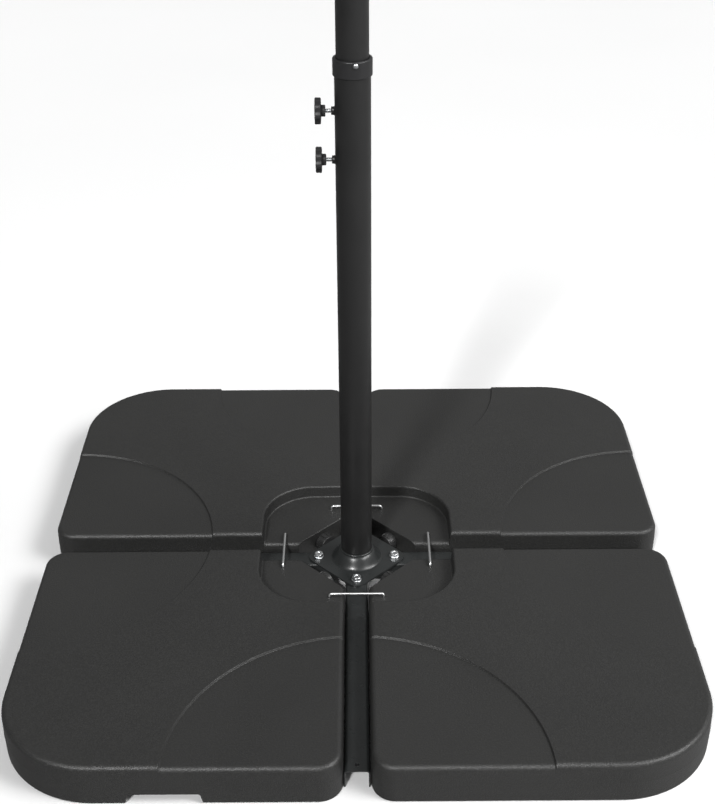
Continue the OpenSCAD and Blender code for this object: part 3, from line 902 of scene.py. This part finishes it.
# %% Weld bead
WELD_R, WELD_RINGS = 1.9 * MM, 160
bpy.ops.mesh.primitive_torus_add(major_segments=WELD_RINGS, minor_segments=12,
                                 major_radius=TUBE_R + 0.6 * MM, minor_radius=WELD_R,
                                 location=(0, 0, DOME_TOP + 0.9 * MM))
weld = added()
edit(weld, "VERT")
pick(lambda v: round(math.atan2(v.co.y, v.co.x) / math.tau * WELD_RINGS) % 4 == 0, "VERT")
bpy.ops.transform.shrink_fatten(value=0.12 * MM)
leave()
placed(weld, "weld_bead", "stand", "cross_paint", cross_finish, "neck_weld", crease=80)

# %% [markdown]
# ## Hex bolts, washers and nuts
# A bolt head is a hexagon whose corners are turned off. A six sided cylinder makes the hexagon,
# and the part of it that a bevelled disc also holds is what the lathe would leave. The thread is
# a real helix: the Screw modifier turns one V of the thread and climbs by a pitch each turn.

# %% Threads and hexagons
def threaded(radius, pitch, foot_z, top_z):
    """Threaded rod round Z between two heights, with flat ends."""
    depth = 0.6 * pitch
    bpy.ops.mesh.primitive_circle_add(vertices=3, radius=pitch, location=(0, 0, 0))
    rod = added()
    edit(rod, "EDGE")
    bpy.ops.mesh.select_all(action="SELECT")
    corners = [(radius - depth, 0, 0), (radius, 0, pitch / 2), (radius - depth, 0, pitch)]
    mesh = bmesh.from_edit_mesh(rod.data)
    for vertex, corner in zip(list(mesh.verts), corners):
        vertex.co = corner
    bmesh.update_edit_mesh(rod.data)
    pick(lambda e: (e.verts[0].co - e.verts[1].co).length > 0.9 * pitch
         and abs(middle(e).x - (radius - depth)) < HAIR, "EDGE")
    bpy.ops.mesh.delete(type="EDGE")
    leave()
    turns = math.ceil((top_z - foot_z) / pitch) + 2
    modify(rod, "SCREW", angle=math.radians(360), screw_offset=pitch, iterations=turns, steps=24,
           render_steps=24, use_merge_vertices=True, merge_threshold=0.00001)
    shifted(rod, (0, 0, foot_z - pitch))
    edit(rod, "EDGE")
    for height, keep_above in ((foot_z, True), (top_z, False)):
        bpy.ops.mesh.select_all(action="SELECT")
        bpy.ops.mesh.bisect(plane_co=(0, 0, height), plane_no=(0, 0, 1), use_fill=True,
                            clear_inner=keep_above, clear_outer=not keep_above)
    leave()
    outward(rod)
    return rod


def hexagon(across, foot_z, height, chamfer, both=False):
    """Hexagon with its corners turned off above, and below as well if both is set."""
    corner = across / math.sqrt(3)
    bpy.ops.mesh.primitive_cylinder_add(vertices=6, radius=corner, depth=height,
                                        location=(0, 0, foot_z + height / 2))
    block = added()
    top = foot_z + height
    wide, slope, flat = corner + 0.4 * MM, chamfer + 0.6 * MM, across * 0.475
    if both:
        outline = [(0.1 * MM, foot_z), (flat, foot_z), (wide, foot_z + slope)]
    else:
        outline = [(0.1 * MM, foot_z - MM), (corner + MM, foot_z - MM)]
    outline += [(wide, top - slope), (flat, top), (0.1 * MM, top)]
    carve(block, turned(outline, 72, ring=False), "INTERSECT")
    return block


# %% Bolts, washers and nuts
HEX_AF, HEX_CHAMFER, BOLT_TURN = 13 * MM, 0.9 * MM, 15
SEAT = washer_high.z
nut_low, nut_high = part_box("flange_nuts")

head = hexagon(HEX_AF, SEAT, bolt_high.z - SEAT, HEX_CHAMFER)
dish = turned([(3.1 * MM, bolt_high.z - 0.9 * MM), (4.2 * MM, bolt_high.z + MM)], 48, ring=False)
carve(head, dish)
shank = turned([(BOLT_R - 0.8 * MM, bolt_low.z), (BOLT_R - 0.1 * MM, bolt_low.z + 0.7 * MM),
                (BOLT_R - 0.1 * MM, SEAT + 0.5 * MM)], 48, ring=False)
bolt = joined(shank, head)
modify(bolt, "BEVEL", width=0.15 * MM, segments=2, limit_method="ANGLE", angle_limit=math.radians(40))

washer = turned([(r * MM, washer_low.z + z * MM) for r, z in
                 ((4.3, 0), (7.7, 0), (8, 0.3), (8, 1.3), (7.7, 1.6), (4.3, 1.6))], 72)

nut_h = nut_high.z - nut_low.z
nut = hexagon(HEX_AF, nut_low.z, nut_h, HEX_CHAMFER, both=True)
bpy.ops.mesh.primitive_cylinder_add(vertices=40, radius=BOLT_R, depth=6 * nut_h,
                                    location=(0, 0, nut_low.z))
carve(nut, added())

for piece, name, node, turn in (
        (bolt, "hex_bolts", "flange_bolts", BOLT_TURN), (washer, "round_washers", "flange_washers", 0),
        (nut, "hex_nuts", "flange_nuts", BOLT_TURN)):
    shifted(piece, turn=(0, 0, turn))
    shifted(piece, (BOLT_AT, 0, 0))
    around = [twin(piece, turn=(0, 0, 90 * quarter)) for quarter in range(4)]
    bpy.data.objects.remove(piece)
    placed(joined(*around), name, "stand", "zinc_steel", zinc_finish, node, crease=30)

# %% [markdown]
# ## Stand tube, pole and collar
# The tubes are turned with both walls and slightly rounded rims. The stand tube has a hole behind
# each weld nut for the clamp screw. Near its top the pole has a rolled bead, on which the next
# section of the parasol comes to rest. The collar is a moulded ring with a soft upper rim that
# grips the pole.

# %% Tubes
POLE_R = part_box("pole")[1].x
TUBE_WALL = 1.5 * MM
RIM = 0.4 * MM
SCREW_HOLE_R = 3.3 * MM


def tube_outline(outer, inner, foot_z, top_z):
    return [(inner + RIM, foot_z), (outer - RIM, foot_z), (outer, foot_z + RIM), (outer, top_z - RIM),
            (outer - RIM, top_z), (inner + RIM, top_z), (inner, top_z - RIM), (inner, foot_z + RIM)]


tube_low, tube_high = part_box("stand_tube")
stand_tube = turned(tube_outline(TUBE_R, TUBE_R - TUBE_WALL, tube_low.z, tube_high.z), 128)
knob_heights = {}
for which in ("upper", "lower"):
    nut_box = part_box("clamp_nut_" + which)
    knob_heights[which] = (nut_box[0].z + nut_box[1].z) / 2
    bpy.ops.mesh.primitive_cylinder_add(
        vertices=40, radius=SCREW_HOLE_R, depth=TUBE_R, location=(-TUBE_R, 0, knob_heights[which]),
        rotation=(0, math.radians(90), 0))
    carve(stand_tube, added())
placed(stand_tube, "stand_tube_drawn", "stand", "tube_paint", tube_finish, "stand_tube")

pole_low, pole_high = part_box("pole")
SOCKET, ROLL, ROLL_W = 80 * MM, 1.2 * MM, 4 * MM
roll_z = pole_high.z - SOCKET - ROLL_W / 2
roll = [(ROLL * (1 - math.cos(math.radians(a))) / 2, ROLL_W * (a - 180) / 360)
        for a in range(0, 361, 30)]
pole_in = POLE_R - TUBE_WALL
pole_outline = [(pole_in + RIM, pole_low.z), (POLE_R - RIM, pole_low.z), (POLE_R, pole_low.z + RIM)]
pole_outline += [(POLE_R - dip, roll_z + along) for dip, along in roll]
pole_outline += [(POLE_R, pole_high.z - RIM), (POLE_R - RIM, pole_high.z), (pole_in + RIM, pole_high.z),
                 (pole_in, pole_high.z - RIM)]
pole_outline += [(pole_in - dip, roll_z + along) for dip, along in reversed(roll)]
pole_outline += [(pole_in, pole_low.z + RIM)]
placed(turned(pole_outline, 128), "pole_drawn", "pole", "tube_paint", tube_finish, "pole")

# %% Collar
collar_low, collar_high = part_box("collar")
COLLAR_R = collar_high.x
COLLAR_TOP = collar_high.z
collar_foot = COLLAR_TOP - 24 * MM
grip_r = POLE_R + 0.05 * MM
lip_z = COLLAR_TOP - 3 * MM
sleeve_foot = collar_low.z
fit_out, fit_in = TUBE_R + HAIR, TUBE_R - TUBE_WALL - HAIR
collar_outline = [(fit_out, collar_foot), (COLLAR_R - 0.7 * MM, collar_foot)]
collar_outline += [(COLLAR_R - 0.2 * MM, collar_foot + 0.4 * MM), (COLLAR_R, collar_foot + 1.1 * MM)]
collar_outline += arc(COLLAR_R - 2.2 * MM, COLLAR_TOP - 2.2 * MM, 2.2 * MM, 0, 90, 7)
collar_outline += [(POLE_R + 1.3 * MM, COLLAR_TOP), (POLE_R + 0.5 * MM, COLLAR_TOP - 0.5 * MM),
                   (grip_r, COLLAR_TOP - 1.6 * MM), (grip_r, sleeve_foot), (fit_in, sleeve_foot),
                   (fit_in, lip_z), (fit_out, lip_z)]
collar = turned(collar_outline, 128)
screw_low, screw_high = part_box("collar_screw")
screw_mid = (screw_low + screw_high) / 2
SCREW_TURN = math.degrees(math.atan2(screw_mid.x, -screw_mid.y))
print("collar screw at", round(SCREW_TURN, 2), "degrees, height", round(screw_mid.z, 4))
placed(collar, "collar_moulding", "stand", "bush_plastic", bush_finish, "collar")

# %% [markdown]
# The collar's screw has a domed head with a cross recess. The dome is turned, the cross is two
# slim bars, and the whole is made lying along Z and then laid over to point out of the collar.

# %% Collar screw
HEAD_R, HEAD_RISE = 3.75, 2.8
RECESS_BAR = (3.8 * MM, 0.75 * MM, 2.4 * MM)
dome = [(0.05, -2.2), (1.9, -2.2), (1.9, 0.0), (HEAD_R, 0.0), (HEAD_R, 0.4)]
dome += [(HEAD_R * math.cos(math.radians(a)), 0.4 + (HEAD_RISE - 0.4) * math.sin(math.radians(a)))
         for a in (15, 30, 45, 60, 75, 87)]
screw = turned([(r * MM, z * MM) for r, z in dome], 64, ring=False)
for turn in (45, 135):
    bpy.ops.mesh.primitive_cube_add(size=1, location=(0, 0, HEAD_RISE * MM),
                                    scale=RECESS_BAR, rotation=(0, 0, math.radians(turn)))
    carve(screw, added())
shifted(screw, turn=(90, 0, 0))
shifted(screw, (0, -COLLAR_R, screw_mid.z))
shifted(screw, turn=(0, 0, SCREW_TURN))
placed(screw, "collar_screw_domed", "stand", "zinc_steel", zinc_finish, "collar_screw", crease=30)

# %% [markdown]
# ## Clamp knobs
# A clamp knob has a head with seven lobes, a hub behind it, and a zinc plated screw moulded into
# the hub. The head starts as a circle: every vertex at the same place in its lobe is scaled by
# the same amount, one place after the other, which draws the lobes. Insets then raise the rim's
# rounding.

# %% Knob head
LOBES, LOBE_POINTS = 7, 14
KNOB_FACE = -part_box("clamp_knob_upper")[0].x
KNOB_R, VALLEY_SHARE, VALLEY_POWER = 18.25 * MM, 0.125, 1.6
KNOB_T, HUB_LEN, RIM_R = 8.5 * MM, 6 * MM, 1.4 * MM
knob_foot = KNOB_FACE - KNOB_T

bpy.ops.mesh.primitive_circle_add(vertices=LOBES * LOBE_POINTS, radius=KNOB_R, fill_type="NGON",
                                  location=(0, 0, knob_foot + KNOB_T / 2))
knob = added()
edit(knob, "VERT")
for place in range(LOBE_POINTS):
    swing = math.cos(2 * math.pi * place / LOBE_POINTS)
    valley = max(0.0, 0.5 - 0.5 * swing) ** VALLEY_POWER
    depth = 1 - VALLEY_SHARE * valley
    mesh = bmesh.from_edit_mesh(knob.data)
    mesh.verts.ensure_lookup_table()
    bpy.ops.mesh.select_all(action="DESELECT")
    for index in range(place, LOBES * LOBE_POINTS, LOBE_POINTS):
        mesh.verts[index].select_set(True)
    bmesh.update_edit_mesh(knob.data)
    bpy.ops.transform.resize(value=(depth, depth, 1), center_override=(0, 0, 0))
bpy.ops.mesh.select_mode(type="FACE")
bpy.ops.mesh.select_all(action="SELECT")
dished = [(2.2 * MM, 0), (0.5 * MM, -0.6 * MM), (4 * MM, 0)]
rise([(0, KNOB_T / 2 - RIM_R)] + rounding(RIM_R, 4) + dished)
leave()
edit(knob, "EDGE")
bpy.ops.mesh.select_non_manifold(extend=False)
bpy.ops.mesh.edge_face_add()
bpy.ops.mesh.select_all(action="SELECT")
bpy.ops.mesh.normals_make_consistent(inside=False)
pick(lambda f: f.normal.z < -0.9 and len(f.verts) > 40)
rise([(0, KNOB_T / 2 - RIM_R)] + rounding(RIM_R, 4))
leave()
shifted(knob, turn=(0, 0, -90))

# %% Knob hub and screw
hub_foot = knob_foot - HUB_LEN
hub_outline = ((0.1, 0), (6.9, 0), (7.6, 0.3), (7.9, 1), (8, 5.2), (9.2, 6.0), (9.2, 6.8), (0.1, 6.8))
hub = turned([(r * MM, hub_foot + z * MM) for r, z in hub_outline], 72, ring=False)
carve(knob, hub, "UNION")
outward(knob)

CLAMP_R, CLAMP_PITCH = 3 * MM, 1 * MM
rod_foot = -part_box("clamp_pad_upper")[0].x
clamp_screw = threaded(CLAMP_R, CLAMP_PITCH, rod_foot + 0.3 * MM, hub_foot + 0.5 * MM)
print("knob", len(knob.data.polygons), "faces, thread", len(clamp_screw.data.polygons), "faces")

for which, height in knob_heights.items():
    turn = (0, -90, 0)
    head = twin(knob, (0, 0, height), turn)
    placed(head, "knob_" + which + "_look", "knob_" + which, "knob_plastic", knob_finish,
           "clamp_knob_" + which)
    rod = twin(clamp_screw, (0, 0, height), turn)
    placed(rod, "knob_screw_" + which, "knob_" + which, "zinc_steel", zinc_finish,
           "clamp_screw_" + which, crease=50)
    kept("clamp_pad_" + which, brass_finish)
for obj in (knob, clamp_screw):
    bpy.data.objects.remove(obj)

# %% [markdown]
# ## Weld nuts
# Each clamp screw runs in a round nut that is welded to the stand tube. A fillet of weld widens
# it where it meets the tube, so the nut is turned with a flared foot, and the tube's round is cut
# out of it.

# %% Weld nuts
NUT_R, NUT_OUT = 5.75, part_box("clamp_nut_upper")[0].x / -MM
nut_outline = [(3.05, 20), (NUT_R + 2.2, 20), (NUT_R + 1.9, 24.0), (NUT_R + 0.9, 24.9),
               (NUT_R + 0.25, 25.6), (NUT_R, 26.6), (NUT_R, NUT_OUT - 0.5), (NUT_R - 0.5, NUT_OUT),
               (3.5, NUT_OUT), (3.05, NUT_OUT - 0.45)]
weld_nut = turned([(r * MM, z * MM) for r, z in nut_outline], 64)
shifted(weld_nut, turn=(0, -90, 0))
bpy.ops.mesh.primitive_cylinder_add(vertices=128, radius=TUBE_R, depth=60 * MM)
carve(weld_nut, added())
for which, height in knob_heights.items():
    placed(twin(weld_nut, (0, 0, height)), "weld_nut_" + which, "stand", "tube_paint", tube_finish,
           "clamp_nut_" + which)
bpy.data.objects.remove(weld_nut)

# %% [markdown]
# ## Bush and foot
# The guide bush and the pole's foot sit inside the stand tube. Their turned shapes are right as
# packed, so they only get their plastic.

# %% Inner pieces
for node in ("guide_bush", "pole_foot"):
    kept(node, bush_finish)

# %% [markdown]
# ## Floor, light and camera
# The floor is a wide, plain, pale sheet of paper. Two far lights, one from the front left and a
# softer one from the right, and a round soft light near the camera's right side light the base.
# The room is white and grows brighter towards the right. The paper is left out of mirrored light,
# as a photographer does with black cards, so that dark edges near the floor stay dark. The camera
# looks down at the base from the front, from above the height of the tube.

# %% Floor
bpy.ops.mesh.primitive_plane_add(size=400, location=(0, 0, -0.5 * MM))
floor = added()
floor.name = "studio_floor"
paper = Finish("studio_paper", Roughness=0.9)
paper.feed("Base Color", paper.between(paper.noise(0.8, 2), (0.86, 0.86, 0.86), (0.88, 0.88, 0.88)))
floor.data.materials.append(paper.material)

# %% Lights
def aimed(light, place, name):
    light.name = name
    aim = Vector((0, 0, 0.3)) - Vector(place)
    light.rotation_euler = aim.to_track_quat("-Z", "Y").to_euler()


def soft_light(name, place, size, power):
    bpy.ops.object.light_add(type="AREA", location=place)
    light = bpy.context.object
    light.data.shape = "DISK"
    light.data.size = size
    light.data.energy = power
    aimed(light, place, name)


def far_light(name, place, spread, strength):
    """A sun. Its spread in degrees softens the shadows."""
    bpy.ops.object.light_add(type="SUN", location=place)
    light = bpy.context.object
    light.data.angle = math.radians(spread)
    light.data.energy = strength
    aimed(light, place, name)


far_light("front_light", (-0.8, -2.1, 2.3), 8, 2.3)
far_light("right_light", (2.2, -0.4, 2.4), 26, 1.6)
soft_light("near_light", (1.9, -1.5, 2.2), 1.0, 30)
floor.visible_glossy = False

world = bpy.data.worlds.new("studio")
bpy.context.scene.world = world
world.use_nodes = True
sky = world.node_tree
across = sky.nodes.new("ShaderNodeSeparateXYZ")
sky.links.new(sky.nodes.new("ShaderNodeTexCoord").outputs["Generated"], across.inputs["Vector"])
ramp = sky.nodes.new("ShaderNodeMapRange")
LEFT, RIGHT, DIM, BRIGHT = -0.8, 0.9, 0.12, 0.42
names = ("From Min", "From Max", "To Min", "To Max")
for socket, number in zip(names, (LEFT, RIGHT, DIM, BRIGHT)):
    ramp.inputs[socket].default_value = number
sky.links.new(across.outputs["X"], ramp.inputs["Value"])
sky.links.new(ramp.outputs["Result"], sky.nodes["Background"].inputs["Strength"])
sky.nodes["Background"].inputs["Color"].default_value = (1, 1, 1, 1)
bpy.context.scene.view_settings.view_transform = "Standard"

# %% Camera
CAMERA_PLACE = (0.0065, -1.7866, 1.3946)
LENS = 60.62
DOWN, TO_LEFT, TILT = math.radians(30.82), math.radians(0.10), math.radians(-0.43)
bpy.ops.object.camera_add(location=CAMERA_PLACE)
camera = bpy.context.object
pitch = Matrix.Rotation(math.pi / 2 - DOWN, 3, "X")
turn = Matrix.Rotation(TO_LEFT, 3, "Z") @ pitch @ Matrix.Rotation(TILT, 3, "Z")
camera.rotation_euler = turn.to_euler()
camera.data.lens = LENS
bpy.context.scene.camera = camera
